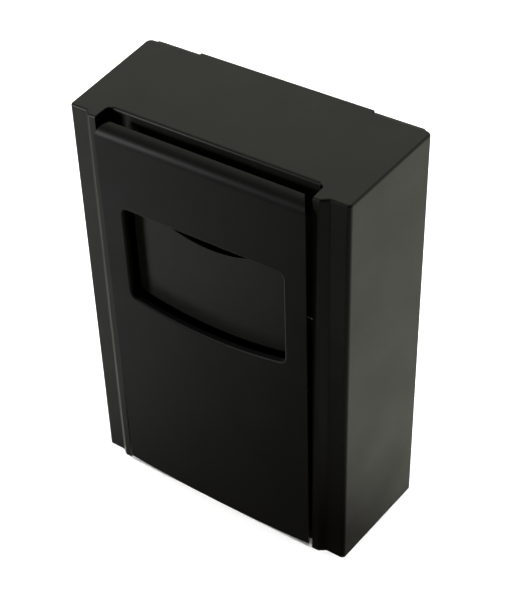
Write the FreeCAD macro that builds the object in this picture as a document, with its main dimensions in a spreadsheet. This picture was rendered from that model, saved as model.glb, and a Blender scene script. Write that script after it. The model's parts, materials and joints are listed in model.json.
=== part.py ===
import FreeCAD, Part
import math
import os
from types import SimpleNamespace
from FreeCAD import Placement, Rotation, Vector

# Wall-mounted dog waste bin in folded sheet steel.
# X runs across the front, Y from the front to the wall, Z up.
# Pieces are drawn with X = 0 on the middle plane, Y = 0 on the flanges' front and Z = 0 at the base,
# then moved back by origin_shift, which puts the origin at the bottom centre of the whole bin.

os.makedirs("parts", exist_ok=True)
doc = FreeCAD.newDocument("dog_waste_bin")

SIZES = {
    # case
    "case_width": 300.0,
    "case_depth": 125.0,
    "case_height": 427.0,
    "rear_flare": 5.6,
    "top_rise": 7.6,
    "sheet_steel": 1.5,
    "front_bend": 4.0,
    "rear_bend": 6.0,
    "top_bend": 2.5,
    "joggle_bend": 3.2,
    "flange_width": 20.0,
    "joggle_run": 6.5,
    "joggle_step": 5.0,
    "lip_width": 7.2,
    "rear_return": 16.0,
    # notch for the fingers
    "notch_depth": 17.5,
    "notch_corner": 5.0,
    "curtain_height": 36.0,
    "curtain_bend": 3.0,
    # back plate and its wall holes
    "back_sheet": 2.5,
    "back_margin": 8.0,
    "tab_inset": 55.0,
    "wall_hole": 9.0,
    "wall_hole_across": 180.0,
    "wall_hole_up": 280.0,
    "wall_hole_low": 80.0,
    # floor
    "flange_over_ledge": 2.9,
    "ledge_front": 4.6,
    "ledge_depth": 17.0,
    "drain_hole": 8.0,
    "drain_across": 120.0,
    "drain_along": 50.0,
    # door
    "door_gap": 3.1,
    "door_proud": 1.9,
    "door_lean": 0.65,
    "door_low": 0.6,
    "door_bow": 5.0,
    "door_drop": 5.0,
    "grip_radius": 12.5,
    "hem_height": 24.0,
    "hem_bend": 2.0,
    "hem_inset": 9.0,
    # window and its collar
    "window_margin": 24.2,
    "window_drop": 82.7,
    "window_height": 113.0,
    "window_bow": 10.0,
    "window_top_corner": 6.0,
    "window_low_corner": 9.0,
    "collar_depth": 6.0,
    "window_round": 2.4,
    # door hinge
    "hinge_height": 15.0,
    "hinge_length": 160.0,
    "hinge_pin": 3.0,
    "knuckle_wall": 1.4,
    "hinge_sheet": 1.2,
    "hinge_leaf": 20.0,
    "pin_clearance": 0.05,
    "knuckle_gap": 0.5,
    "hinge_rivet": 3.0,
    # gussets that stop the door behind the lips
    "door_open": 30.0,
    "gusset_inset": 12.7,
    "gusset_low": 42.0,
    "gusset_high": 165.0,
    "hook_reach": 21.0,
    "foot_width": 15.0,
    # flap
    "flap_depth": 14.0,
    "flap_gap": 1.0,
    "flap_dip": 18.5,
    "flap_shoulder": 22.0,
    "flap_pivot_rise": 7.7,
    "flap_tail": 15.0,
    "flap_open": 55.0,
    "flap_rod": 5.0,
    "tube_wall": 1.5,
    "bracket_offset": 3.5,
    "bracket_foot": 14.0,
    # liner
    "liner_side_gap": 7.0,
    "liner_front": 26.0,
    "liner_rear_gap": 10.0,
    "liner_height": 175.0,
    "liner_sheet": 1.0,
    "liner_corner": 8.0,
    "liner_rim": 3.0,
    "ear_width": 18.0,
    "ear_height": 30.0,
    "ear_rise": 8.0,
    "bail_wire": 4.0,
    "bail_arm": 45.0,
    "bail_bend": 8.0,
    "liner_lift": 15.0,
    # small parts and clearances
    "seat_gap": 0.1,
    "running_gap": 0.3,
    "magnet_length": 44.0,
    "magnet_height": 10.0,
    "buffer_size": 10.0,
    "buffer_inset": 33.2,
    "screw_size": 3.0,
    "ear_rivet": 4.0,
}

sheet = doc.addObject("Spreadsheet::Sheet", "sizes")
for row, (alias, value) in enumerate(SIZES.items(), start=1):
    sheet.set(f"A{row}", alias)
    sheet.set(f"B{row}", str(value))
    sheet.setAlias(f"B{row}", alias)
doc.recompute()
s = SimpleNamespace(**{alias: float(sheet.get(alias)) for alias in SIZES})

# ---------------------------------------------------------------- values that follow from the sizes

half_width = s.case_width / 2
rear_half = half_width + s.rear_flare
flare_slope = s.rear_flare / s.case_depth
top_slope = s.top_rise / s.case_depth
joggle_out = half_width - s.flange_width
joggle_in = joggle_out - s.joggle_run
mouth_half = joggle_in - s.lip_width
lip_face = -s.joggle_step
lip_rear = lip_face + s.sheet_steel

door_face = lip_face - s.door_proud
door_rear = door_face + s.sheet_steel
door_half = mouth_half - s.door_gap
door_top = s.case_height - s.door_drop
window_half = door_half - s.window_margin
window_top = door_top - s.window_drop
window_low = window_top - s.window_height
gusset_half = door_half - s.gusset_inset
buffer_offset = door_half - s.buffer_inset
hem_rear = door_face + s.grip_radius + s.hem_bend
hem_front = hem_rear - s.sheet_steel

pin_radius = s.hinge_pin / 2
bore_radius = pin_radius + s.pin_clearance
knuckle_radius = bore_radius + s.knuckle_wall
hinge_y = door_rear + s.running_gap + knuckle_radius
ledge_top = s.hinge_height - knuckle_radius
floor_flange = ledge_top + s.flange_over_ledge

curtain_face = s.notch_depth - s.curtain_bend
curtain_rear = curtain_face + s.sheet_steel
curtain_half = mouth_half - s.notch_corner
catch_height = door_top - s.hem_height + s.magnet_height / 2 + 2
back_face = s.case_depth + s.seat_gap
back_rear = back_face + s.back_sheet
tab_half = half_width - s.tab_inset
lean = math.radians(s.door_lean)
grip_y = door_face + s.grip_radius - hinge_y
grip_z = door_top - s.grip_radius - s.hinge_height
door_front = hinge_y + grip_y * math.cos(lean) - grip_z * math.sin(lean) - s.grip_radius
origin_shift = (door_front + back_rear) / 2

flap_face = door_face + s.flap_depth
flap_rear = flap_face + s.sheet_steel
flap_half = window_half - s.flap_gap
flap_pivot = window_top + s.flap_pivot_rise
flap_dip_half = flap_half - s.flap_shoulder
rod_radius = s.flap_rod / 2
tube_bore = rod_radius + s.pin_clearance
tube_radius = tube_bore + s.tube_wall
flap_y = (flap_face + flap_rear) / 2
bracket_half = window_half + s.bracket_offset

liner_half = gusset_half - s.sheet_steel - s.liner_side_gap
liner_rear = s.case_depth - s.liner_rear_gap
liner_mid = (s.liner_front + liner_rear) / 2
liner_base = s.sheet_steel + s.seat_gap
liner_top = liner_base + s.liner_height
bail_radius = s.bail_wire / 2
bail_height = liner_top + s.running_gap + bail_radius
ear_face = liner_half - s.liner_sheet - s.seat_gap
ear_inner = ear_face - s.sheet_steel
bail_turn = bail_radius + 1
bail_x = ear_face + s.running_gap + bail_turn


def screw_places():
    """X of the two screws that hold the magnetic catch."""
    return (-s.magnet_length / 3, s.magnet_length / 3)


def half_width_at(y):
    return half_width + flare_slope * y


def top_at(y):
    return s.case_height + top_slope * y


# ---------------------------------------------------------------- drawing helpers

CASE_PLACE = Placement(Vector(0, -origin_shift, 0), Rotation())
LEAN = Placement(Vector(), Rotation(Vector(1, 0, 0), s.door_lean), Vector(0, hinge_y, s.hinge_height))
DOOR_PLACE = CASE_PLACE * LEAN
NODES = []


def new_body(label, place=CASE_PLACE):
    body = doc.addObject("PartDesign::Body", label)
    body.Label = label
    body.Placement = place
    NODES.append(body)
    return body


def unit(a, b):
    length = math.hypot(b[0] - a[0], b[1] - a[1])
    return ((b[0] - a[0]) / length, (b[1] - a[1]) / length)


def rounded(points):
    """Closed outline through (x, y) or (x, y, radius) points, as lines and arcs."""
    count = len(points)
    corners = []
    for i in range(count):
        here = points[i]
        radius = here[2] if len(here) > 2 else 0
        back = unit(here, points[i - 1])
        ahead = unit(here, points[(i + 1) % count])
        if radius == 0:
            corners.append((here[:2], None, here[:2]))
            continue
        angle = math.acos(back[0] * ahead[0] + back[1] * ahead[1])
        cut = radius / math.tan(angle / 2)
        middle = (back[0] + ahead[0], back[1] + ahead[1])
        size = math.hypot(*middle)
        reach = radius / math.sin(angle / 2) - radius
        top = (here[0] + middle[0] / size * reach, here[1] + middle[1] / size * reach)
        start = (here[0] + back[0] * cut, here[1] + back[1] * cut)
        end = (here[0] + ahead[0] * cut, here[1] + ahead[1] * cut)
        corners.append((start, top, end))
    edges = []
    for i, (start, top, end) in enumerate(corners):
        if top is not None:
            edges.append(Part.Arc(Vector(*start, 0), Vector(*top, 0), Vector(*end, 0)))
        following = corners[(i + 1) % count][0]
        if math.dist(end, following) > 1e-6:
            edges.append(Part.LineSegment(Vector(*end, 0), Vector(*following, 0)))
    return edges


def inset(points, amount):
    """The closed anticlockwise outline moved inwards by amount, its corners kept concentric."""
    moved = []
    for i, (x, y, radius) in enumerate(points):
        a = unit(points[i - 1], (x, y))
        b = unit((x, y), points[(i + 1) % len(points)])
        turn = a[0] * b[1] - a[1] * b[0]
        share = amount / (1 + a[0] * b[0] + a[1] * b[1])
        grown = radius - math.copysign(amount, turn)
        moved.append((x - (a[1] + b[1]) * share, y + (a[0] + b[0]) * share, grown))
    return moved


def bent_sheet(path, thickness, bends):
    """Outline of a folded sheet: path runs along one skin, the other skin lies to its left."""
    skin, other = [path[0]], [None]
    for i in range(1, len(path) - 1):
        a = unit(path[i - 1], path[i])
        b = unit(path[i], path[i + 1])
        turn = a[0] * b[1] - a[1] * b[0]
        bisect = 1 + a[0] * b[0] + a[1] * b[1]
        offset = ((-a[1] - b[1]) / bisect * thickness, (a[0] + b[0]) / bisect * thickness)
        outer = bends[i - 1]
        inner = outer - thickness
        skin.append((*path[i], outer if turn > 0 else inner))
        far = inner if turn > 0 else outer
        other.append((path[i][0] + offset[0], path[i][1] + offset[1], max(far, 0)))
    skin.append(path[-1])
    first = unit(path[0], path[1])
    last = unit(path[-2], path[-1])
    other[0] = (path[0][0] - first[1] * thickness, path[0][1] + first[0] * thickness)
    other.append((path[-1][0] - last[1] * thickness, path[-1][1] + last[0] * thickness))
    return rounded(skin + other[::-1])


def box_outline(x0, y0, x1, y1, radius=0):
    return rounded([(x0, y0, radius), (x1, y0, radius), (x1, y1, radius), (x0, y1, radius)])


def circle(x, y, radius):
    return [Part.Circle(Vector(x, y, 0), Vector(0, 0, 1), radius)]


def sketch_on(body, plane, offset, outlines):
    """Sketch on the body's own XY, XZ or YZ plane, moved along +Z, +Y or +X by offset."""
    sketch = body.newObject("Sketcher::SketchObject", f"{body.Name}_outline")
    origin_plane = next(o for o in body.Origin.OriginFeatures if o.Role == f"{plane}_Plane")
    sketch.AttachmentSupport = [(origin_plane, "")]
    sketch.MapMode = "FlatFace"
    sign = "-1" if plane == "XZ" else "1"
    sketch.setExpression("AttachmentOffset.Base.z", f"{sign} * ({offset}) * 1 mm")
    for outline in outlines:
        sketch.addGeometry(outline, False)
    return sketch


def extrude(body, kind, plane, offset, length, outlines):
    sketch = sketch_on(body, plane, offset, outlines)
    feature = body.newObject(f"PartDesign::{kind}", f"{body.Name}_{kind.lower()}")
    feature.Profile = sketch
    feature.setExpression("Length", f"({length}) * 1 mm")
    along_normal = plane != "XZ"
    feature.Reversed = along_normal if kind == "Pocket" else not along_normal
    sketch.Visibility = False
    return feature


def pad(body, plane, offset, length, *outlines):
    """Adds a slab from offset to offset + length along the plane's positive axis."""
    return extrude(body, "Pad", plane, offset, length, outlines)


def pocket(body, plane, offset, length, *outlines):
    """Cuts a slab from offset to offset + length, and checks that it took something away."""
    doc.recompute()
    before = body.Shape.Volume
    feature = extrude(body, "Pocket", plane, offset, length, outlines)
    doc.recompute()
    if body.Shape.Volume >= before - 1e-3:
        raise RuntimeError(f"a pocket of {body.Label} cuts nothing")
    return feature


def fillet(body, radius, chosen):
    """Rounds the edges of the body's tip that chosen(edge) picks."""
    doc.recompute()
    base = body.Tip
    names = [f"Edge{i}" for i, edge in enumerate(base.Shape.Edges, start=1) if chosen(edge)]
    feature = body.newObject("PartDesign::Fillet", f"{body.Name}_fillet")
    feature.Base = (base, names)
    feature.setExpression("Radius", f"({radius}) * 1 mm")
    return feature


def mirrored(body, feature):
    """Repeats a feature on the other side of the middle plane."""
    copy = body.newObject("PartDesign::Mirrored", f"{body.Name}_mirror")
    copy.Originals = [feature]
    plane = next(o for o in body.Origin.OriginFeatures if o.Role == "YZ_Plane")
    copy.MirrorPlane = (plane, [""])
    body.Tip = copy
    return copy


def turned(lengths, bore=0):
    """Solid of coaxial (start, end, radius) lengths, with a bore through the first one if given."""
    solid = None
    for start, end, radius in lengths:
        axis = end - start
        cylinder = Part.makeCylinder(radius, axis.Length, start, axis)
        solid = cylinder if solid is None else solid.fuse(cylinder)
    if bore:
        start, end, _ = lengths[0]
        axis = end - start
        solid = solid.cut(Part.makeCylinder(bore, axis.Length, start, axis))
    return solid.removeSplitter().Solids[0]


def pieces_node(label, solids, place=CASE_PLACE):
    """Node of one or more separate small solids."""
    node = doc.addObject("Part::Feature", label)
    node.Label = label
    node.Shape = solids[0] if len(solids) == 1 else Part.makeCompound(solids)
    node.Placement = place
    NODES.append(node)
    return node


# ---------------------------------------------------------------- case shell

def case_outline():
    """Corners of the case in plan, anticlockwise, on its outer skin."""
    right = [
        (joggle_in, lip_face, s.joggle_bend),
        (joggle_out, 0, s.joggle_bend),
        (half_width, 0, s.front_bend),
        (rear_half, s.case_depth, s.rear_bend),
    ]
    left = [(-x, y, radius) for x, y, radius in reversed(right)]
    return left + right


def case_block(body, inwards, expression):
    """Solid with the case's outer form, or that form moved inwards by the sheet's thickness."""
    tall = "sizes.case_height + sizes.top_rise + 10"
    pad(body, "XY", "-1", tall, rounded(inset(case_outline(), inwards)))
    front, rear = lip_face - 1, s.case_depth + 1
    above = s.case_height + s.top_rise + 20
    drop = inwards * math.hypot(1, top_slope)
    roof = rounded([(front, top_at(front) - drop), (rear, top_at(rear) - drop), (rear, above), (front, above)])
    wide = "2 * (sizes.case_width + sizes.rear_flare)"
    pocket(body, "YZ", "-sizes.case_width - sizes.rear_flare", wide, roof)

    def round_top(edge):
        level = all(abs(v.Z - top_at(v.Y) + drop) < 0.01 for v in edge.Vertexes)
        return level and edge.BoundBox.YMin < s.case_depth - inwards - 0.1

    fillet(body, f"sizes.top_bend{expression}", round_top)


def make_case_shell():
    body = new_body("case_shell")
    case_block(body, 0, "")
    below = box_outline(-2 * half_width, lip_face - 1, 2 * half_width, s.case_depth + 1)
    pocket(body, "XY", "-2", "2", below)
    core = doc.addObject("PartDesign::Body", "case_core")
    case_block(core, s.sheet_steel, " - sizes.sheet_steel")
    doc.recompute()
    hollow = body.newObject("PartDesign::Boolean", "case_shell_hollow")
    hollow.setObjects([core])
    hollow.Type = "Cut"
    body.Tip = hollow
    doc.recompute()
    mouth = box_outline(-mouth_half, -1, mouth_half, s.case_height + 1)
    pocket(body, "XZ", "-sizes.joggle_step - 1", "sizes.sheet_steel + 2", mouth)
    notch = rounded([
        (-mouth_half, lip_face - 2),
        (mouth_half, lip_face - 2),
        (mouth_half, curtain_face, s.notch_corner),
        (curtain_half, curtain_face),
        (curtain_half, s.notch_depth),
        (-curtain_half, s.notch_depth),
        (-curtain_half, curtain_face),
        (-mouth_half, curtain_face, s.notch_corner),
    ])
    pocket(body, "XY", "sizes.case_height - 6", "12", notch)
    rear_half_open = rear_half - s.rear_return
    opening = box_outline(-rear_half_open, -1, rear_half_open, s.case_height + s.top_rise - s.rear_return)
    pocket(body, "XZ", "sizes.case_depth - 3", "6", opening)
    fold = s.notch_depth + 2
    curtain = bent_sheet(
        [(fold, top_at(fold)), (curtain_face, top_at(curtain_face)),
         (curtain_face, s.case_height - s.curtain_height)],
        s.sheet_steel, [s.curtain_bend])
    pad(body, "YZ", f"-{curtain_half}", f"2 * {curtain_half}", curtain)
    holes = [circle(x, catch_height, s.screw_size / 2 + s.pin_clearance) for x in screw_places()]
    holes += [circle(x, catch_height, s.buffer_size / 4 + s.pin_clearance)
              for x in (-buffer_offset, buffer_offset)]
    pocket(body, "XZ", f"{curtain_face - 1}", "sizes.sheet_steel + 2", *holes)
    tab_start = s.case_depth - 3
    tab_end = back_rear
    tab = rounded([
        (tab_start, top_at(tab_start) - s.sheet_steel),
        (tab_end, top_at(tab_end) - s.sheet_steel),
        (tab_end, top_at(tab_end)),
        (tab_start, top_at(tab_start)),
    ])
    pad(body, "YZ", f"-{tab_half}", f"2 * {tab_half}", tab)
    return body


def make_back_plate():
    body = new_body("back_plate")
    half = rear_half - s.back_margin
    top = top_at(s.case_depth) - s.sheet_steel - s.seat_gap
    low = 4
    holes = [
        circle(side * s.wall_hole_across / 2, height, s.wall_hole / 2)
        for side in (-1, 1)
        for height in (s.wall_hole_low, s.wall_hole_low + s.wall_hole_up)
    ]
    pad(body, "XZ", "sizes.case_depth + sizes.seat_gap", "sizes.back_sheet",
        box_outline(-half, low, half, top, 3), *holes)
    return body


def make_floor_plate():
    body = new_body("floor_plate")
    inset = s.sheet_steel + s.seat_gap
    rear = s.case_depth - inset
    front_half = half_width_at(s.ledge_front) - inset
    back_half = half_width_at(rear) - inset
    corner = s.rear_bend
    plan = rounded([
        (-front_half, s.ledge_front), (front_half, s.ledge_front),
        (back_half, rear, corner), (-back_half, rear, corner),
    ])
    pad(body, "XY", "0", f"{floor_flange}", plan)
    ledge_rear = s.ledge_front + s.ledge_depth
    wall = s.sheet_steel
    well = rounded([
        (-half_width_at(ledge_rear) + inset + wall, ledge_rear),
        (half_width_at(ledge_rear) - inset - wall, ledge_rear),
        (back_half - wall, rear - wall, corner - wall),
        (-back_half + wall, rear - wall, corner - wall),
    ])
    pocket(body, "XY", "sizes.sheet_steel", f"{floor_flange}", well)
    shelf = box_outline(-2 * half_width, s.ledge_front - 1, 2 * half_width, ledge_rear)
    pocket(body, "XY", f"{ledge_top}", f"{floor_flange}", shelf)
    tunnel = box_outline(s.ledge_front + wall, wall, ledge_rear + 1, ledge_top - wall)
    pocket(body, "YZ", f"-{front_half - wall}", f"2 * {front_half - wall}", tunnel)
    drains = [
        circle(x * s.drain_across / 2, liner_mid + y * s.drain_along / 2, s.drain_hole / 2)
        for x in (-1, 1)
        for y in (-1, 1)
    ]
    pocket(body, "XY", "-1", "sizes.sheet_steel + 2", *drains)
    rivets = [circle(x, y, s.hinge_rivet / 2 + s.seat_gap) for x, y in hinge_rivet_places()]
    pocket(body, "XY", f"{ledge_top} - sizes.sheet_steel - 1", "sizes.sheet_steel + 2", *rivets)
    return body


# ---------------------------------------------------------------- door hinge

def knuckle_spans():
    """Five knuckles along the hinge: the odd ones belong to the case, the even ones to the door."""
    pitch = s.hinge_length / 5
    return [(-s.hinge_length / 2 + i * pitch + s.knuckle_gap / 2, pitch - s.knuckle_gap) for i in range(5)]


def hinge_rivet_places():
    return [(x, s.ledge_front + s.ledge_depth - 6) for x in (-60, 0, 60)]


def make_hinge_leaf(label, place, spans, leaf_box, plane, offset, holes):
    body = new_body(label, place)
    outer = circle(hinge_y, s.hinge_height, knuckle_radius)
    bore = circle(hinge_y, s.hinge_height, bore_radius)
    pad(body, plane, offset, "sizes.hinge_sheet", leaf_box, *holes)
    for start, length in knuckle_spans():
        if (start, length) not in spans:
            reach = knuckle_radius + s.running_gap
            clear = box_outline(hinge_y - reach, s.hinge_height - reach, hinge_y + reach, s.hinge_height + reach)
            pocket(body, "YZ", f"{start - s.knuckle_gap}", f"{length + 2 * s.knuckle_gap}", clear)
    for start, length in spans:
        pad(body, "YZ", f"{start}", f"{length}", outer)
    for start, length in spans:
        pocket(body, "YZ", f"{start - 1}", f"{length + 2}", bore)
    return body


def make_door_hinge():
    spans = knuckle_spans()
    half = s.hinge_length / 2
    flat = box_outline(-half, hinge_y, half, s.ledge_front + s.ledge_depth)
    holes = [circle(x, y, s.hinge_rivet / 2 + s.seat_gap) for x, y in hinge_rivet_places()]
    make_hinge_leaf("hinge_case_leaf", CASE_PLACE, spans[0::2], flat, "XY", f"{ledge_top}", holes)
    upright = box_outline(-half, s.hinge_height, half, s.hinge_height + s.hinge_leaf)
    weld = f"{door_rear} + sizes.seat_gap"
    make_hinge_leaf("hinge_door_leaf", DOOR_PLACE, spans[1::2], upright, "XZ", weld, [])
    head = 0.8
    ends = Vector(half + head, hinge_y, s.hinge_height)
    start = Vector(-ends.x, ends.y, ends.z)
    cap = Vector(head, 0, 0)
    pieces_node("hinge_pin", [turned([
        (start, ends, pin_radius),
        (start - cap, start, pin_radius + head),
        (ends, ends + cap, pin_radius + head),
    ])])
    rivets = []
    for x, y in hinge_rivet_places():
        under = Vector(x, y, ledge_top - s.sheet_steel)
        over = Vector(x, y, ledge_top + s.hinge_sheet)
        rise = Vector(0, 0, 1)
        rivets.append(turned([
            (under - rise, over + rise, s.hinge_rivet / 2),
            (under - rise, under, s.hinge_rivet),
            (over, over + rise, s.hinge_rivet),
        ]))
    pieces_node("hinge_rivets", rivets)


# ---------------------------------------------------------------- door

def window_outline(grow=0.0):
    """The window: straight top, arched lower edge, rounded corners; grow widens it all round."""
    half = window_half + grow
    top = window_top + grow
    side_low = window_low + s.window_bow - grow
    low = window_low - grow
    top_corner = s.window_top_corner + grow
    low_corner = s.window_low_corner + grow
    sag = s.window_bow
    radius = (half * half + sag * sag) / (2 * sag)
    centre = low + radius
    inner_x = half - low_corner
    corner_z = centre - math.sqrt((radius - low_corner) ** 2 - inner_x ** 2)
    reach = radius / (radius - low_corner)
    touch = (inner_x * reach, centre - (centre - corner_z) * reach)
    arc_mid = math.sqrt(0.5)
    mean = math.atan2(touch[1] - corner_z, touch[0] - inner_x) / 2
    return [
        Part.LineSegment(Vector(-half + top_corner, top, 0), Vector(half - top_corner, top, 0)),
        Part.Arc(Vector(half - top_corner, top, 0),
                 Vector(half - top_corner * (1 - arc_mid), top - top_corner * (1 - arc_mid), 0),
                 Vector(half, top - top_corner, 0)),
        Part.LineSegment(Vector(half, top - top_corner, 0), Vector(half, corner_z, 0)),
        Part.Arc(Vector(half, corner_z, 0),
                 Vector(inner_x + low_corner * math.cos(mean), corner_z + low_corner * math.sin(mean), 0),
                 Vector(*touch, 0)),
        Part.Arc(Vector(*touch, 0), Vector(0, low, 0), Vector(-touch[0], touch[1], 0)),
        Part.Arc(Vector(-touch[0], touch[1], 0),
                 Vector(-inner_x - low_corner * math.cos(mean), corner_z + low_corner * math.sin(mean), 0),
                 Vector(-half, corner_z, 0)),
        Part.LineSegment(Vector(-half, corner_z, 0), Vector(-half, top - top_corner, 0)),
        Part.Arc(Vector(-half, top - top_corner, 0),
                 Vector(-half + top_corner * (1 - arc_mid), top - top_corner * (1 - arc_mid), 0),
                 Vector(-half + top_corner, top, 0)),
    ]


def make_door_panel():
    body = new_body("door_panel", DOOR_PLACE)
    foot = s.door_low - 1
    profile = bent_sheet(
        [(door_face, foot), (door_face, door_top), (hem_rear, door_top),
         (hem_rear, door_top - s.hem_height)][::-1],
        s.sheet_steel, [s.hem_bend, s.grip_radius])
    pad(body, "YZ", f"-{door_half}", f"2 * {door_half}", profile)
    corner = s.door_low + s.door_bow
    below = foot - 5
    bow = [
        Part.Arc(Vector(-door_half, corner, 0), Vector(0, s.door_low, 0), Vector(door_half, corner, 0)),
        Part.LineSegment(Vector(door_half, corner, 0), Vector(door_half + 1, corner, 0)),
        Part.LineSegment(Vector(door_half + 1, corner, 0), Vector(door_half + 1, below, 0)),
        Part.LineSegment(Vector(door_half + 1, below, 0), Vector(-door_half - 1, below, 0)),
        Part.LineSegment(Vector(-door_half - 1, below, 0), Vector(-door_half - 1, corner, 0)),
        Part.LineSegment(Vector(-door_half - 1, corner, 0), Vector(-door_half, corner, 0)),
    ]
    pocket(body, "XZ", f"{door_face - 1}", "sizes.sheet_steel + 2", bow)
    pocket(body, "XZ", f"{door_face - 1}", "sizes.sheet_steel + 2", window_outline(s.sheet_steel))
    pad(body, "XZ", f"{door_face}", "sizes.collar_depth", window_outline(s.sheet_steel), window_outline())
    inner = door_half - s.hem_inset
    rear = hem_rear + 1
    leg = box_outline(inner, hem_front - 1, door_half + 1, rear)
    low = door_top - s.hem_height - 1
    cut = pocket(body, "XY", f"{low}", "sizes.hem_height - sizes.hem_bend", leg)
    mirrored(body, cut)
    corner = rounded([(inner, rear), (door_half + 1, rear), (door_half + 1, door_face), (door_half, door_face),
                      (inner, hem_front, s.hem_inset / 2)])
    cut = pocket(body, "XY", f"{door_top - s.grip_radius}", "sizes.grip_radius + 2", corner)
    mirrored(body, cut)

    def window_front(edge):
        box = edge.BoundBox
        flat = box.YMax - box.YMin < 0.01 and abs(box.YMin - door_face) < 0.01
        return flat and box.XMax < window_half + 0.1 and -window_half - 0.1 < box.XMin and box.ZMin > window_low - 0.1

    fillet(body, "sizes.window_round", window_front)
    return body


def stop_line(height):
    """Point of the gusset's rear edge that meets the lips' rear when the door is fully open."""
    swing = math.radians(s.door_open + s.door_lean)
    y = lip_rear + s.running_gap - hinge_y
    return (hinge_y + y * math.cos(swing) + height * math.sin(swing),
            s.hinge_height - y * math.sin(swing) + height * math.cos(swing))


def make_gusset(side):
    name = "left" if side < 0 else "right"
    body = new_body(f"door_gusset_{name}", DOOR_PLACE)
    weld = door_rear + s.seat_gap
    wall = s.sheet_steel
    swing = math.radians(s.door_open + s.door_lean)
    aside = (wall * math.cos(swing), -wall * math.sin(swing))
    low = stop_line(40)
    high = stop_line(150)
    behind_low = (low[0] + aside[0], low[1] + aside[1])
    behind_high = (high[0] + aside[0], high[1] + aside[1])
    web = rounded([(weld, s.gusset_low), behind_low, behind_high, (weld, s.gusset_high)])
    hook = rounded([low, behind_low, behind_high, high])
    foot = box_outline(weld, s.gusset_low, weld + wall, s.gusset_high)
    outer = side * gusset_half
    start = min(outer, outer - side * wall)
    pad(body, "YZ", f"{start}", "sizes.sheet_steel", web)
    hook_start = min(outer - side * wall, outer + side * s.hook_reach)
    pad(body, "YZ", f"{hook_start}", "sizes.hook_reach + sizes.sheet_steel", hook)
    foot_start = min(outer, outer - side * s.foot_width)
    pad(body, "YZ", f"{foot_start}", "sizes.foot_width", foot)
    return body


# ---------------------------------------------------------------- deposit flap

def make_deposit_flap():
    body = new_body("deposit_flap", DOOR_PLACE)
    plate = window_outline(-s.flap_gap)
    pad(body, "XZ", f"{flap_face}", "sizes.sheet_steel", plate)
    top = window_top - s.flap_gap
    dip_radius = (flap_dip_half ** 2 + s.flap_dip ** 2) / (2 * s.flap_dip)
    pocket(body, "XZ", f"{flap_face - 1}", "sizes.sheet_steel + 2",
           circle(0, top - s.flap_dip + dip_radius, dip_radius))
    tail_top = flap_pivot + s.flap_tail
    tail = rounded([
        (flap_dip_half + 2, top - 8), (flap_half - 4, top - 8), (flap_half - 4, tail_top, 3),
        (flap_dip_half + 2, tail_top, 3),
    ])
    raised = pad(body, "XZ", f"{flap_face}", "sizes.sheet_steel", tail)
    mirrored(body, raised)
    start = flap_dip_half + 2
    length = flap_half - 4 - start
    tube = pad(body, "YZ", f"{start}", f"{length}", circle(flap_y, flap_pivot, tube_radius))
    mirrored(body, tube)
    bore = pocket(body, "YZ", f"{start - 1}", f"{length + 2}", circle(flap_y, flap_pivot, tube_bore))
    mirrored(body, bore)
    return body


def make_flap_bracket(side):
    name = "left" if side < 0 else "right"
    body = new_body(f"flap_bracket_{name}", DOOR_PLACE)
    wall = s.sheet_steel
    weld = door_rear + s.seat_gap
    low = flap_pivot - 12
    high = flap_pivot + s.flap_tail
    rear = flap_rear + s.running_gap + wall
    behind = flap_y + s.flap_rod
    web = rounded([(weld, low), (behind, low, 4), (behind, high, 4), (weld, high)])
    hole = circle(flap_y, flap_pivot, rod_radius + s.pin_clearance)
    outer = side * (bracket_half + wall)
    start = min(outer, outer - side * wall)
    pad(body, "YZ", f"{start}", "sizes.sheet_steel", web, hole)
    foot = box_outline(weld, low, weld + wall, high)
    foot_start = min(outer, outer + side * (s.bracket_foot - wall))
    pad(body, "YZ", f"{foot_start}", f"{s.bracket_foot - wall}", foot)
    tab_reach = s.bracket_offset + s.flap_gap + 4 + 8
    tab = box_outline(rear - wall, flap_pivot + 6, rear, high)
    tab_start = min(outer - side * wall, outer - side * (wall + tab_reach))
    pad(body, "YZ", f"{tab_start}", f"{tab_reach}", tab)
    return body


def make_flap_rod():
    face = bracket_half + s.sheet_steel
    end = face + 3
    axis_at = [Vector(x, flap_y, flap_pivot) for x in (-end, end)]
    pieces_node("flap_rod", [turned([(*axis_at, rod_radius)])], DOOR_PLACE)
    clips = []
    for side in (-1, 1):
        inner = Vector(side * (face + s.seat_gap), flap_y, flap_pivot)
        outer = inner + Vector(side, 0, 0)
        clips.append(turned([(inner, outer, s.flap_rod)], rod_radius + s.pin_clearance))
    pieces_node("flap_rod_clips", clips, DOOR_PLACE)


# ---------------------------------------------------------------- catch and buffers behind the door

def hem_rear_at_rest(z):
    """Y of the hem's rear face at height z, with the door closed and leaning."""
    return hem_rear - math.tan(lean) * (z - s.hinge_height)


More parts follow.
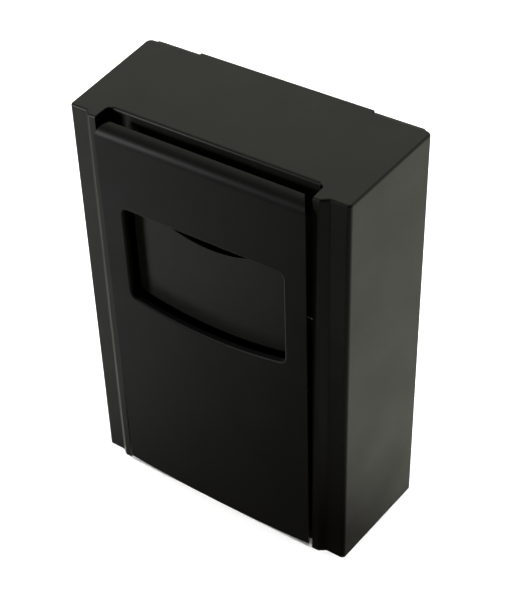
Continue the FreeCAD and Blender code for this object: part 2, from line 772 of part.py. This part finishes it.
def make_catch():
    low = catch_height - s.magnet_height / 2
    front = hem_rear_at_rest(low) + s.running_gap
    body = new_body("magnet_catch")
    half = s.magnet_length / 2
    pad(body, "XY", f"{low}", "sizes.magnet_height", box_outline(-half, front, half, curtain_face))
    depth = 7
    holes = [circle(x, catch_height, s.screw_size / 2 + s.pin_clearance) for x in screw_places()]
    pocket(body, "XZ", f"{curtain_face - depth}", f"{depth + 1}", *holes)
    screws = []
    for x in screw_places():
        tip = Vector(x, front, catch_height)
        tip.y = curtain_face - depth + 1
        seat = Vector(x, curtain_rear, catch_height)
        head = seat + Vector(0, s.screw_size / 2, 0)
        screws.append(turned([(tip, seat, s.screw_size / 2), (seat, head, s.screw_size)]))
    pieces_node("magnet_screws", screws)
    buffers = []
    for x in (-buffer_offset, buffer_offset):
        face = Vector(x, front, catch_height)
        seat = Vector(x, curtain_face, catch_height)
        through = Vector(x, curtain_rear, catch_height)
        bulb = through + Vector(0, s.buffer_size / 4, 0)
        buffers.append(turned([
            (face, seat, s.buffer_size / 2),
            (seat, through, s.buffer_size / 4),
            (through, bulb, s.buffer_size / 4 + 0.6),
        ]))
    pieces_node("door_buffers", buffers)


# ---------------------------------------------------------------- liner

def make_liner():
    body = new_body("liner")
    half, front, rear = liner_half, s.liner_front, liner_rear
    wall, rim, corner = s.liner_sheet, s.liner_rim, s.liner_corner
    pad(body, "XY", f"{liner_base}", "sizes.liner_height", box_outline(-half, front, half, rear, corner))
    fillet(body, "sizes.liner_sheet * 2", lambda edge: edge.BoundBox.ZMax < liner_base + 0.1)
    pad(body, "XY", f"{liner_top - wall}", "sizes.liner_sheet",
        box_outline(-half - rim, front - rim, half + rim, rear + rim, corner + rim))
    pocket(body, "XY", f"{liner_base + wall}", "sizes.liner_height",
           box_outline(-half + wall, front + wall, half - wall, rear - wall, corner - wall))
    holes = [circle(y, rivet_height(), s.ear_rivet / 2 + s.pin_clearance) for y in ear_rivet_places()]
    pocket(body, "YZ", f"-{half} - 1", f"2 * {half} + 2", *holes)


def rivet_height():
    return liner_top - s.ear_height / 2


def ear_rivet_places():
    return (liner_mid - s.ear_width / 4, liner_mid + s.ear_width / 4)


def make_liner_ear(side):
    name = "left" if side < 0 else "right"
    body = new_body(f"liner_ear_{name}")
    low = liner_top - s.ear_height + s.ear_rise
    high = liner_top + s.ear_rise
    plate = rounded([
        (liner_mid - s.ear_width / 2, low, 2), (liner_mid + s.ear_width / 2, low, 2),
        (liner_mid + s.ear_width / 2, high, s.ear_width / 3), (liner_mid - s.ear_width / 2, high, s.ear_width / 3),
    ])
    holes = [circle(y, rivet_height(), s.ear_rivet / 2 + s.pin_clearance) for y in ear_rivet_places()]
    holes.append(circle(liner_mid, bail_height, bail_radius + s.pin_clearance))
    start = min(side * ear_inner, side * ear_face)
    pad(body, "YZ", f"{start}", "sizes.sheet_steel", plate, *holes)


def make_ear_rivets():
    rivets = []
    for side in (-1, 1):
        for y in ear_rivet_places():
            inside = Vector(side * ear_inner, y, rivet_height())
            outside = Vector(side * liner_half, y, rivet_height())
            head = Vector(side, 0, 0)
            rivets.append(turned([
                (inside - head, outside + head, s.ear_rivet / 2),
                (inside - head, inside, s.ear_rivet),
                (outside, outside + head, s.ear_rivet),
            ]))
    pieces_node("liner_ear_rivets", rivets)


def make_liner_handle():
    """Wire bail: two pins turned in through the ears, two arms lying back and a bar along the rear rim."""
    body = new_body("liner_handle")
    end = ear_inner - 2
    far = liner_mid + s.bail_arm
    bend = s.bail_bend
    path = body.newObject("Sketcher::SketchObject", "liner_handle_path")
    plane = next(o for o in body.Origin.OriginFeatures if o.Role == "XY_Plane")
    path.AttachmentSupport = [(plane, "")]
    path.MapMode = "FlatFace"
    path.setExpression("AttachmentOffset.Base.z", f"{bail_height} * 1 mm")
    edges = rounded([
        (-end, liner_mid), (-bail_x, liner_mid, bail_turn), (-bail_x, far, bend),
        (bail_x, far, bend), (bail_x, liner_mid, bail_turn), (end, liner_mid),
    ])
    path.addGeometry(edges[:-1], False)
    profile = body.newObject("Sketcher::SketchObject", "liner_handle_section")
    side_plane = next(o for o in body.Origin.OriginFeatures if o.Role == "YZ_Plane")
    profile.AttachmentSupport = [(side_plane, "")]
    profile.MapMode = "FlatFace"
    profile.setExpression("AttachmentOffset.Base.z", f"-{end} * 1 mm")
    profile.addGeometry(circle(liner_mid, bail_height, bail_radius), False)
    pipe = body.newObject("PartDesign::AdditivePipe", "liner_handle_wire")
    pipe.Profile = profile
    pipe.Spine = (path, [f"Edge{i + 1}" for i in range(len(edges) - 1)])


def make_liner_locator(side):
    """Angle on the floor that keeps the liner central."""
    name = "left" if side < 0 else "right"
    body = new_body(f"liner_locator_{name}")
    inner = liner_half + s.running_gap
    reach = 14
    high = 10
    floor = s.sheet_steel + s.seat_gap
    wall = s.sheet_steel
    angle = [(side * (inner + reach), floor), (side * inner, floor), (side * inner, high)]
    length = 40
    pad(body, "XZ", f"{liner_mid - length / 2}", f"{length}", bent_sheet(angle[::-side], wall, [wall]))


make_case_shell()
make_back_plate()
make_floor_plate()
make_door_hinge()
make_door_panel()
make_gusset(-1)
make_gusset(1)
make_deposit_flap()
make_flap_bracket(-1)
make_flap_bracket(1)
make_flap_rod()
make_catch()
make_liner()
make_liner_ear(-1)
make_liner_ear(1)
make_ear_rivets()
make_liner_handle()
make_liner_locator(-1)
make_liner_locator(1)
doc.recompute()

for item in doc.Objects:
    if "Invalid" in item.State or "Error" in item.State:
        raise RuntimeError(f"{item.Label} did not compute: {item.State}")
for node in NODES:
    shape = node.Shape
    if shape.isNull() or not shape.isValid():
        raise RuntimeError(f"{node.Label} has no valid shape")
    shape.exportStep(f"parts/{node.Label}.step")
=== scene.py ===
"""Looks of the wall-mounted dog waste bin: powder-coated sheet steel, a galvanised liner, steel fittings."""

import json
import math

import bmesh
import bpy
from mathutils import Euler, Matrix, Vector

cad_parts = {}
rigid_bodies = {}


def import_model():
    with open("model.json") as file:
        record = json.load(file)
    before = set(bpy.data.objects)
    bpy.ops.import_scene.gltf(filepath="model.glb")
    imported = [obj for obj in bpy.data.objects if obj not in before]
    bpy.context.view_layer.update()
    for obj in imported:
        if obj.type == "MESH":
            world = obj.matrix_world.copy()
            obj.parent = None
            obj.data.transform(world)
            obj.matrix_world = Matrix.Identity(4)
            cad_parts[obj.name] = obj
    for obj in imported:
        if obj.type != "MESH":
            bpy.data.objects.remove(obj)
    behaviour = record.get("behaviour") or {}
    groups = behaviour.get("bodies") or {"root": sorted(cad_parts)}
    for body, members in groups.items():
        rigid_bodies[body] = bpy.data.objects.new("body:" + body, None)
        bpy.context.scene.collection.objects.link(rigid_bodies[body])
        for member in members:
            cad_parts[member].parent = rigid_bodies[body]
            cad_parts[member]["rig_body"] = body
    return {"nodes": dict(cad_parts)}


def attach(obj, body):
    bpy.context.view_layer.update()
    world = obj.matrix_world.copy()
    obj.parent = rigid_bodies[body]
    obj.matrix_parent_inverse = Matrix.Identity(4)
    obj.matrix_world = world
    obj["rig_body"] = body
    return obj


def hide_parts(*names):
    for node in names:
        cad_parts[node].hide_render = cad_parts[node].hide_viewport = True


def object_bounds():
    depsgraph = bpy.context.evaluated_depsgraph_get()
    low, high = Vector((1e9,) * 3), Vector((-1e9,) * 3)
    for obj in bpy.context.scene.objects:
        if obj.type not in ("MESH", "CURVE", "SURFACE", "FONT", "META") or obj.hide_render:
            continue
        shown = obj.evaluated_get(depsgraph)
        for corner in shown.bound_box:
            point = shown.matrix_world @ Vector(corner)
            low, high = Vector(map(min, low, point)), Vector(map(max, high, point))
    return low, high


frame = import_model()
cad_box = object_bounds()
nodes = frame["nodes"]
MM = 0.001


# ---------------------------------------------------------------- colours and shader nodes

# A colour Mix node has a set of sockets for each kind of data; these are the colour ones.
MIX_UNDER, MIX_OVER, MIXED = 6, 7, 2


def linear(hex_code):
    """An sRGB hex colour as the linear RGBA that shaders take."""
    channels = [int(hex_code[i:i + 2], 16) / 255 for i in (1, 3, 5)]
    return [c / 12.92 if c <= 0.04045 else ((c + 0.055) / 1.055) ** 2.4 for c in channels] + [1.0]


def grey(value):
    return [value, value, value, 1.0]


def per_metre(feature_mm):
    """Texture scale that gives features of that size in millimetres."""
    return 1.0 / (feature_mm * MM)


def link(tree, node, rows):
    """Links (socket, source node, output) rows into a node."""
    for socket, source, output in rows:
        tree.links.new(source.outputs[output], node.inputs[socket])


def add(tree, kind, settings=(), sockets=(), links=(), stops=()):
    """Adds a node with its settings, socket values and links, and two (position, colour) stops for a ramp."""
    node = tree.nodes.new(kind)
    for name, value in dict(settings).items():
        setattr(node, name, value)
    for socket, value in dict(sockets).items():
        node.inputs[socket].default_value = value
    link(tree, node, links)
    for number, (position, colour) in enumerate(stops):
        node.color_ramp.elements[number].position = position
        node.color_ramp.elements[number].color = colour
    return node


def spread(low, high, to_low, to_high):
    """Socket values of a Map Range node."""
    return {"From Min": low, "From Max": high, "To Min": to_low, "To Max": to_high}


def noise(feature_mm, detail, roughness):
    """Socket values of a Noise node with features of that size."""
    return {"Scale": per_metre(feature_mm), "Detail": detail, "Roughness": roughness}


def new_material(name):
    material = bpy.data.materials.new(name)
    material.use_nodes = True
    tree = material.node_tree
    shader = next(n for n in tree.nodes if n.type == "BSDF_PRINCIPLED")
    return material, tree, shader


# ---------------------------------------------------------------- finishes

def powder_coat(name, base, lifted, dust, low_shade_colour, rough=0.42, full_sheen=0.5, shaded_sheen=0.03):
    """Polyester powder coat, sprayed and baked on steel.

    It gives a soft broad sheen broken by fine orange peel, with faint cloudy dust, a few pale specks,
    and painted shade near the ground, darker and browner towards the front and the right, that also takes the
    sheen away.
    """
    cloud_mm, mottle_mm, peel_mm, speck_mm = 70, 9, 1.1, 6
    peel_depth = 0.05 * MM
    dust_share = 0.5
    # Painted shade near the ground: it is darkest low down at the front and the right.
    low_shade_slope = (-0.5, 0.9, 1.0)
    full_low_shade, no_low_shade = -0.1, 0.085

    material, tree, shader = new_material(name)
    place = add(tree, "ShaderNodeTexCoord")
    at_place = [("Vector", place, "Object")]
    cloud = add(tree, "ShaderNodeTexNoise", sockets=noise(cloud_mm, 5.0, 0.6), links=at_place)
    mottle = add(tree, "ShaderNodeTexNoise", sockets=noise(mottle_mm, 4.0, 0.65), links=at_place)
    peel = add(tree, "ShaderNodeTexNoise", sockets=noise(peel_mm, 2.0, 0.5), links=at_place)
    speck = add(tree, "ShaderNodeTexVoronoi", sockets={"Scale": per_metre(speck_mm)}, links=at_place)
    reach = add(tree, "ShaderNodeVectorMath", {"operation": "DOT_PRODUCT"}, {1: low_shade_slope},
                [(0, place, "Object")])

    patches = add(tree, "ShaderNodeValToRGB", links=[("Fac", mottle, "Fac")],
                  stops=[(0.35, grey(0.0)), (0.7, grey(1.0))])
    veil = add(tree, "ShaderNodeValToRGB", links=[("Fac", cloud, "Fac")],
               stops=[(0.42, grey(0.0)), (0.75, grey(dust_share))])
    spots = add(tree, "ShaderNodeValToRGB", links=[("Fac", speck, "Distance")],
                stops=[(0.0, grey(1.0)), (0.05, grey(0.0))])
    # A mask of painted shade: full low down at the front and the right, none higher up.
    low_shade = add(tree, "ShaderNodeMapRange", {"interpolation_type": "SMOOTHSTEP"},
                 spread(full_low_shade, no_low_shade, 1.0, 0.0), [("Value", reach, "Value")])

    coat = add(tree, "ShaderNodeMix", {"data_type": "RGBA"},
               {MIX_UNDER: linear(base), MIX_OVER: linear(lifted)}, [(0, patches, "Color")])
    # Dust, specks and then the painted shade colour are laid over the coat in turn.
    for share, output, over in [(veil, "Color", dust), (spots, "Color", dust), (low_shade, "Result", low_shade_colour)]:
        coat = add(tree, "ShaderNodeMix", {"data_type": "RGBA"}, {MIX_OVER: linear(over)},
                   [(0, share, output), (MIX_UNDER, coat, MIXED)])

    gloss = add(tree, "ShaderNodeMapRange", sockets=spread(0.3, 0.7, rough - 0.03, rough + 0.06),
                links=[("Value", cloud, "Fac")])
    # Under the painted shade the sheen falls from its full value to its lowest.
    sheen = add(tree, "ShaderNodeMapRange", sockets=spread(0.0, 1.0, full_sheen, shaded_sheen),
                links=[("Value", low_shade, "Result")])
    bump = add(tree, "ShaderNodeBump", sockets={"Strength": 0.12, "Distance": peel_depth},
               links=[("Height", peel, "Fac")])
    link(tree, shader, [
        ("Base Color", coat, MIXED),
        ("Roughness", gloss, "Result"),
        ("Specular IOR Level", sheen, "Result"),
        ("Normal", bump, "Normal"),
    ])
    shader.inputs["IOR"].default_value = 1.5
    return material


def zinc(name, dark, light, rough):
    """Galvanised sheet: hot-dipped zinc, whose spangle gives pale and darker patches, with dull marks."""
    spangle_mm, haze_mm, grain_mm = 9, 25, 0.8
    grain_depth = 0.03 * MM

    material, tree, shader = new_material(name)
    place = add(tree, "ShaderNodeTexCoord")
    at_place = [("Vector", place, "Object")]
    spangle = add(tree, "ShaderNodeTexVoronoi", sockets={"Scale": per_metre(spangle_mm)}, links=at_place)
    haze = add(tree, "ShaderNodeTexNoise", sockets=noise(haze_mm, 5.0, 0.6), links=at_place)
    grain = add(tree, "ShaderNodeTexNoise", sockets=noise(grain_mm, 2.0, 0.5), links=at_place)
    shade = add(tree, "ShaderNodeValToRGB", links=[("Fac", spangle, "Color")],
                stops=[(0.0, linear(dark)), (1.0, linear(light))])
    gloss = add(tree, "ShaderNodeMapRange", sockets=spread(0.3, 0.7, rough - 0.08, rough + 0.1),
                links=[("Value", haze, "Fac")])
    bump = add(tree, "ShaderNodeBump", sockets={"Strength": 0.1, "Distance": grain_depth},
               links=[("Height", grain, "Fac")])
    link(tree, shader, [("Base Color", shade, "Color"), ("Roughness", gloss, "Result"),
                        ("Normal", bump, "Normal")])
    shader.inputs["Metallic"].default_value = 1.0
    return material


def drawn_steel(name, dark, light, rough):
    """Bright drawn steel wire and turned steel: fine lengthwise drawing lines and a light oil film."""
    line_mm, film_mm = 0.5, 12
    lengthwise = (0.08, 1.0, 1.0)
    line_depth = 0.02 * MM

    material, tree, shader = new_material(name)
    place = add(tree, "ShaderNodeTexCoord")
    at_place = [("Vector", place, "Object")]
    drawn = add(tree, "ShaderNodeMapping", sockets={"Scale": lengthwise}, links=at_place)
    lines = add(tree, "ShaderNodeTexNoise", sockets=noise(line_mm, 3.0, 0.6),
                links=[("Vector", drawn, "Vector")])
    film = add(tree, "ShaderNodeTexNoise", sockets=noise(film_mm, 3.0, 0.5), links=at_place)
    shade = add(tree, "ShaderNodeValToRGB", links=[("Fac", film, "Fac")],
                stops=[(0.35, linear(dark)), (0.65, linear(light))])
    gloss = add(tree, "ShaderNodeMapRange", sockets=spread(0.3, 0.7, rough - 0.06, rough + 0.1),
                links=[("Value", lines, "Fac")])
    bump = add(tree, "ShaderNodeBump", sockets={"Strength": 0.15, "Distance": line_depth},
               links=[("Height", lines, "Fac")])
    link(tree, shader, [("Base Color", shade, "Color"), ("Roughness", gloss, "Result"),
                        ("Normal", bump, "Normal")])
    shader.inputs["Metallic"].default_value = 1.0
    return material


def moulded(name, dark, light, rough, grain_mm):
    """Moulded rubber or plastic: a dull even black with a fine spark-eroded grain."""
    grain_depth = 0.04 * MM

    material, tree, shader = new_material(name)
    place = add(tree, "ShaderNodeTexCoord")
    grain = add(tree, "ShaderNodeTexNoise", sockets=noise(grain_mm, 2.0, 0.6),
                links=[("Vector", place, "Object")])
    shade = add(tree, "ShaderNodeValToRGB", links=[("Fac", grain, "Fac")],
                stops=[(0.3, linear(dark)), (0.7, linear(light))])
    gloss = add(tree, "ShaderNodeMapRange", sockets=spread(0.3, 0.7, rough - 0.05, rough + 0.08),
                links=[("Value", grain, "Fac")])
    bump = add(tree, "ShaderNodeBump", sockets={"Strength": 0.2, "Distance": grain_depth},
               links=[("Height", grain, "Fac")])
    link(tree, shader, [("Base Color", shade, "Color"), ("Roughness", gloss, "Result"),
                        ("Normal", bump, "Normal")])
    return material


# The case is a warm charcoal and the door a plainer black; the flap is paler, painted light that makes up for
# the shade it sits in behind the door's window.
# The last colour of each coat is its painted shade near the ground.
case_coat = powder_coat("powder_coat_charcoal", "#1b1b18", "#20201c", "#2c2a26", "#201d18")
door_coat = powder_coat("powder_coat_black", "#171717", "#1a1a1a", "#242322", "#15130f",
                        full_sheen=0.28, shaded_sheen=0.18)
flap_coat_painted_light = powder_coat("powder_coat_flap_painted_light", "#2c2d2b", "#313230", "#363634", "#2a231b", full_sheen=0.37)
# The cut edges of the sheets get a paler, glossier coat: a painted highlight along the edges.
painted_edge_highlight = powder_coat("powder_coat_rubbed_edge", "#60605c", "#7c7c78", "#8a8884", "#4a4438", rough=0.3)
galvanised = zinc("galvanised_steel", "#8b9194", "#a9aeb0", 0.42)
bright_steel = drawn_steel("bright_steel", "#8f9090", "#b5b6b6", 0.3)
rubber = moulded("black_rubber", "#0c0c0c", "#141414", 0.85, 0.7)
plastic = moulded("black_plastic", "#171718", "#202021", 0.5, 0.5)

FINISHED_WITH = [
    (case_coat, ["case_shell", "back_plate", "floor_plate"]),
    (door_coat, ["door_panel", "door_gusset_left", "door_gusset_right", "flap_bracket_left",
                 "flap_bracket_right"]),
    (flap_coat_painted_light, ["deposit_flap"]),
    (galvanised, ["hinge_case_leaf", "hinge_door_leaf", "liner", "liner_ear_left", "liner_ear_right",
                  "liner_locator_left", "liner_locator_right"]),
    (bright_steel, ["hinge_pin", "hinge_rivets", "flap_rod", "flap_rod_clips", "magnet_screws",
                    "liner_ear_rivets", "liner_handle"]),
    (plastic, ["magnet_catch"]),
    (rubber, ["door_buffers"]),
]
FINISH = {label: finish for finish, labels in FINISHED_WITH for label in labels}


# ---------------------------------------------------------------- pieces

# The big sheets that catch the light along their edges, each with a name for its paint slot.
EDGE_MM = 0.4
EASED = {
    "case_shell": "case_paint",
    "back_plate": "case_paint",
    "door_panel": "door_paint",
    "deposit_flap": "door_paint",
}
SAME_POINT = 0.002 * MM
FLAT_WITHIN = math.radians(0.05)
CUT_EDGE_FROM = math.radians(35)
SHARP_FROM = math.radians(50)


def eased_copy(node):
    """A copy of a node's mesh with its cut edges eased and given a painted highlight, which then stands for
    the node.
    """
    source = nodes[node]
    mesh = source.data.copy()
    work = bmesh.new()
    work.from_mesh(mesh)
    bmesh.ops.remove_doubles(work, verts=work.verts, dist=SAME_POINT)
    bmesh.ops.dissolve_limit(work, angle_limit=FLAT_WITHIN, verts=work.verts, edges=work.edges,
                             delimit={"NORMAL"})
    cut_edges = [e for e in work.edges if e.is_manifold and e.calc_face_angle(0) > CUT_EDGE_FROM]
    bmesh.ops.bevel(work, geom=cut_edges, offset=EDGE_MM * MM, segments=2, profile=0.5,
                    affect="EDGES", clamp_overlap=True, material=1)
    work.to_mesh(mesh)
    work.free()
    piece = bpy.data.objects.new(f"{node}_finished", mesh)
    bpy.context.scene.collection.objects.link(piece)
    mesh.materials.clear()
    mesh.materials.append(FINISH[node])
    # The eased edges take the second slot: a paler coat that paints a highlight along them.
    mesh.materials.append(painted_edge_highlight)
    for face in mesh.polygons:
        face.use_smooth = True
    mesh.set_sharp_from_angle(angle=SHARP_FROM)
    # Flat faces keep their own normals right up to the bends, so that no false shading runs across them.
    even = piece.modifiers.new("even_normals", "WEIGHTED_NORMAL")
    even.mode = "FACE_AREA"
    even.weight = 100
    even.keep_sharp = True
    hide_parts(node)
    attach(piece, source["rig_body"])
    return piece


for label, node in nodes.items():
    node.data.materials.clear()
    node.data.materials.append(FINISH[label])

for label, slot in EASED.items():
    eased_copy(label)


# ---------------------------------------------------------------- floor, light and camera

def studio_floor():
    """White paper under the bin. It neither mirrors in the bin nor shades it from the light below."""
    reach = 40.0
    height = cad_box[0][2]
    corners = [(-reach, -reach), (reach, -reach), (reach, reach), (-reach, reach)]
    mesh = bpy.data.meshes.new("studio_floor")
    mesh.from_pydata([(x, y, height) for x, y in corners], [], [(0, 1, 2, 3)])
    paper, _, shader = new_material("studio_paper")
    shader.inputs["Base Color"].default_value = grey(0.9)
    shader.inputs["Roughness"].default_value = 0.9
    mesh.materials.append(paper)
    sheet = bpy.data.objects.new("studio_floor", mesh)
    bpy.context.scene.collection.objects.link(sheet)
    sheet.visible_diffuse = False
    sheet.visible_glossy = False
    sheet.visible_shadow = False
    return sheet


def soft_box(name, place, aim, size, watts):
    light = bpy.data.lights.new(name, "AREA")
    light.shape = "RECTANGLE"
    light.size, light.size_y = size
    light.energy = watts
    lamp = bpy.data.objects.new(name, light)
    bpy.context.scene.collection.objects.link(lamp)
    lamp.location = place
    lamp.rotation_euler = (Vector(aim) - Vector(place)).to_track_quat("-Z", "Y").to_euler()
    return lamp


def room(lobes, base, tint):
    """Dim room with soft bright walls: each lobe is (direction, strength, degrees that it reaches round)."""
    world = bpy.data.worlds.new("studio")
    bpy.context.scene.world = world
    world.use_nodes = True
    tree = world.node_tree
    place = add(tree, "ShaderNodeTexCoord")
    total = add(tree, "ShaderNodeValue")
    total.outputs[0].default_value = base
    for direction, strength, reach in lobes:
        facing = add(tree, "ShaderNodeVectorMath", {"operation": "DOT_PRODUCT"},
                     {1: Vector(direction).normalized()}, [(0, place, "Generated")])
        lobe = add(tree, "ShaderNodeMapRange", {"interpolation_type": "SMOOTHSTEP"},
                   spread(math.cos(math.radians(reach)), 1.0, 0.0, strength), [("Value", facing, "Value")])
        total = add(tree, "ShaderNodeMath", {"operation": "ADD"}, links=[(0, total, 0), (1, lobe, 0)])
    glow = tree.nodes["Background"]
    glow.inputs["Color"].default_value = linear(tint)
    link(tree, glow, [("Strength", total, 0)])


room([
    ((0.6, 0.7, -0.3), 0.75, 68),       # seen in the right side
    ((-0.4, 0.65, -0.65), 1.0, 50),     # seen in the edges that face back
    ((-0.5, 0.6, 0.6), 0.59, 70),       # seen in the top
    ((-0.95, -0.2, -0.3), 0.03, 55),    # seen faintly in the left flange
    ((-0.72, 0.17, -0.67), 1.4, 31),    # seen in the step of the left flange
    ((0.5, -0.55, -0.67), 0.16, 52),    # seen in the step of the right flange
], 0.01, "#fffff1")

# A light for the paper alone, which turns it white.
paper_light = soft_box("paper_light", (0, 0.3, 3.0), (0, 0, 0), (3.0, 3.0), 260)
paper_only = bpy.data.collections.new("paper")
paper_only.objects.link(studio_floor())
paper_light.light_linking.receiver_collection = paper_only

# The low box brightens the door towards the left, and the high one the roll of its grip.
soft_box("soft_box_low", (-0.78, -0.68, -0.2), (-0.1, -0.06, 0.22), (0.2, 0.9), 0.78)
soft_box("soft_box_high", (-0.68, -0.68, 0.52), (-0.05, -0.06, 0.4), (0.18, 0.18), 2.6)

camera_data = bpy.data.cameras.new("camera")
camera_data.lens = 85.4
camera = bpy.data.objects.new("camera", camera_data)
bpy.context.scene.collection.objects.link(camera)
camera.location = (0.65075, -0.88100, 1.10519)
camera.rotation_euler = Euler([math.radians(a) for a in (51.004, 1.387, 34.965)], "XYZ")
bpy.context.scene.camera = camera
bpy.context.scene.view_settings.view_transform = "Standard"
